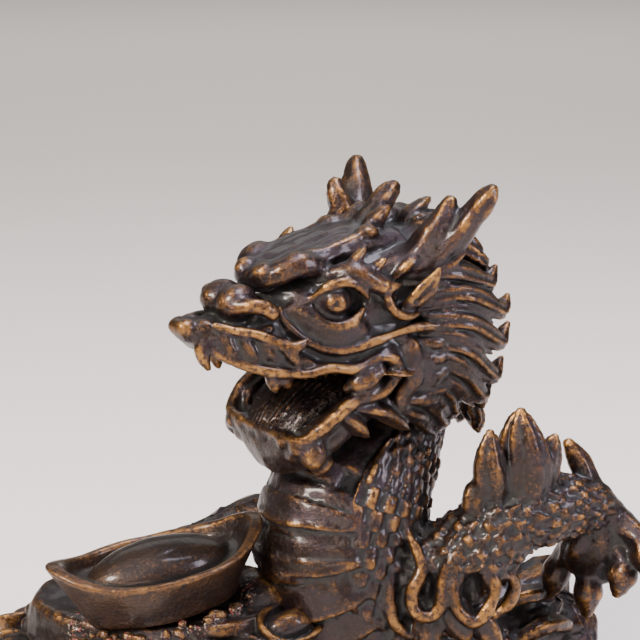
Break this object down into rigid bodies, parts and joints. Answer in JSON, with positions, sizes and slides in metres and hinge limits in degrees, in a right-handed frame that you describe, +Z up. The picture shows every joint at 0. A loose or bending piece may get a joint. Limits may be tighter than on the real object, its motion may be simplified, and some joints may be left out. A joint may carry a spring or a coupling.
{
  "type": "dragon sculpture",
  "caption": "Patinated cast dragon with forked horns and open mouth, one foreleg raised, coiled beside a treasure heap that carries a boat-shaped ingot, on a low oval base.",
  "frame": {"origin": "middle of the flat underside of the base", "axes": "+X along the base away from the side the head looks to, +Y to the rear, +Z up"},
  "size_m": [0.196, 0.1, 0.1709],
  "materials": {
    "dragon_patina": "dark umber patina with a purple-grey sheen, rubbed golden on raised edges",
    "mound_patina": "dark brown-black patina, worn to brown gold on the tops of the small ingots",
    "ingot_patina": "mottled brown-gold satin patina"
  },
  "bodies": {
    "root": {"dragon": "dragon_patina", "treasure_mound": "mound_patina", "large_ingot": "ingot_patina"}
  },
  "joints": []
}
